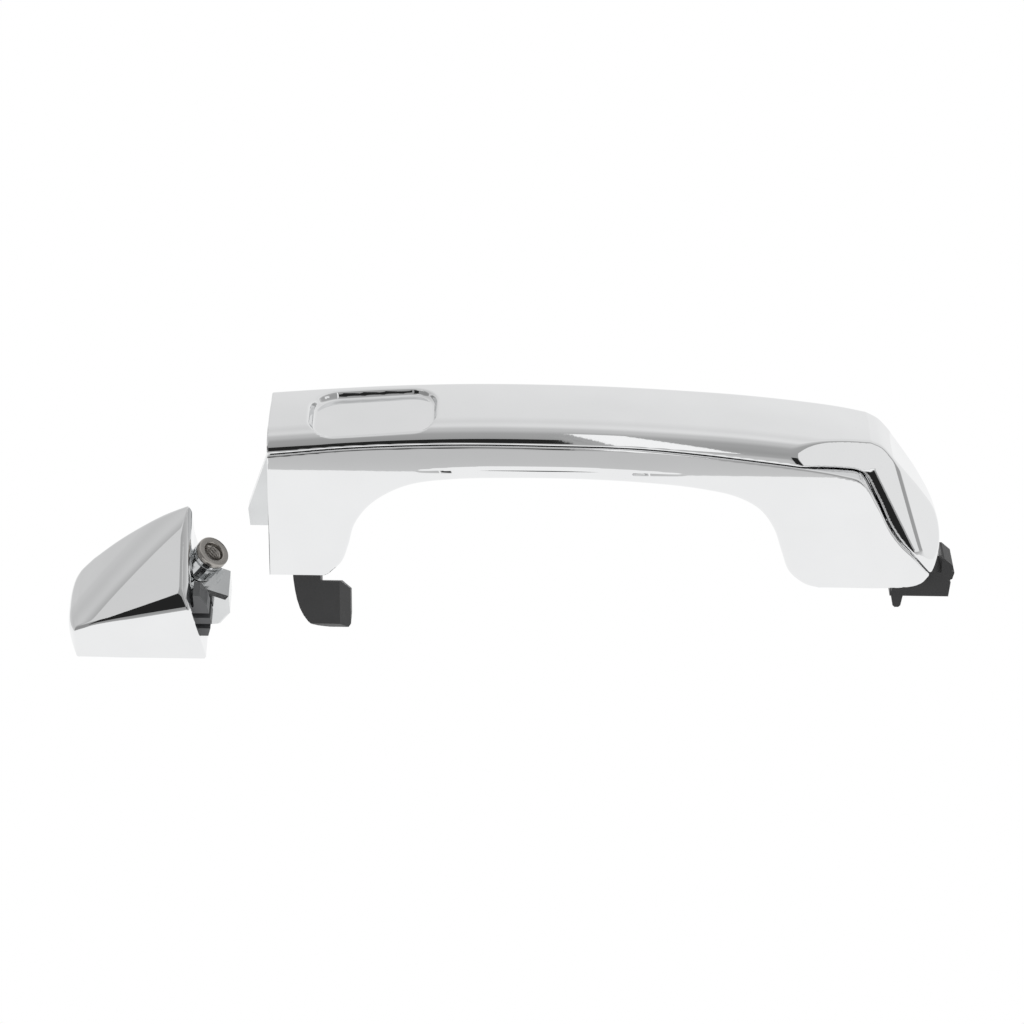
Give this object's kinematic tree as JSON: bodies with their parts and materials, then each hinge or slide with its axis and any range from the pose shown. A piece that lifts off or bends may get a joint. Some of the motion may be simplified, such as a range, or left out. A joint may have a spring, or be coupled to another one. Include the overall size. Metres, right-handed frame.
{
  "type": "car door outside handle",
  "caption": "Chrome strap-type outside door handle: hinged two-shell pull grip with a sensor recess, rear pull hook, front pivot bracket, and a separate rear end cap.",
  "frame": {"origin": "middle of the underside of the front hinge bracket's claw, the face that is fastened to the door", "axes": "+X from the rear end of the grip to its front pivot, +Z outward from the door, +Y to the far side of the grip"},
  "size_m": [0.2669, 0.044, 0.0776],
  "materials": {
    "chrome": "bright mirror chrome plating",
    "satin_plate": "semi-bright plating",
    "black_nylon": "moulded, glass-filled",
    "grey_plastic": "moulded, matt",
    "steel": "zinc plated",
    "nickel": "warm grey plated, machined",
    "acetal": "natural, smooth",
    "copper": "bare copper",
    "board_green": "solder mask",
    "ferrite": "dark, sintered",
    "lead_sleeve": "soft sleeve"
  },
  "bodies": {
    "door_side": {"front_hinge_bracket": "black_nylon", "pivot_bush_near": "acetal", "pivot_bush_far": "acetal", "cap_shell": "chrome", "cap_bracket": "satin_plate", "cap_boss": "satin_plate", "threaded_insert": "nickel", "cap_clip_block": "grey_plastic", "cap_bracket_screw": "steel"},
    "grip": {"outer_shell": "chrome", "inner_shell": "chrome", "rear_end_tongue": "satin_plate", "carrier_beam": "black_nylon", "rear_pull_hook": "black_nylon", "front_pivot_yoke": "black_nylon", "pivot_pin": "steel", "sensor_electrode": "copper", "sensor_circuit_board": "board_green", "sensor_chip": "ferrite", "antenna_core": "ferrite", "antenna_bobbin": "black_nylon", "antenna_winding": "copper", "lead": "lead_sleeve", "connector_header": "black_nylon", "hook_screw_near": "steel", "hook_screw_far": "steel", "yoke_screw_near": "steel", "yoke_screw_far": "steel"}
  },
  "joints": [
    {"name": "handle_pull", "type": "hinge", "parent": "door_side", "child": "grip", "pos_m": [-0.0174, -0.0067, 0.0226], "axis": [0, 1, 0], "range_deg": [0, 10]}
  ]
}
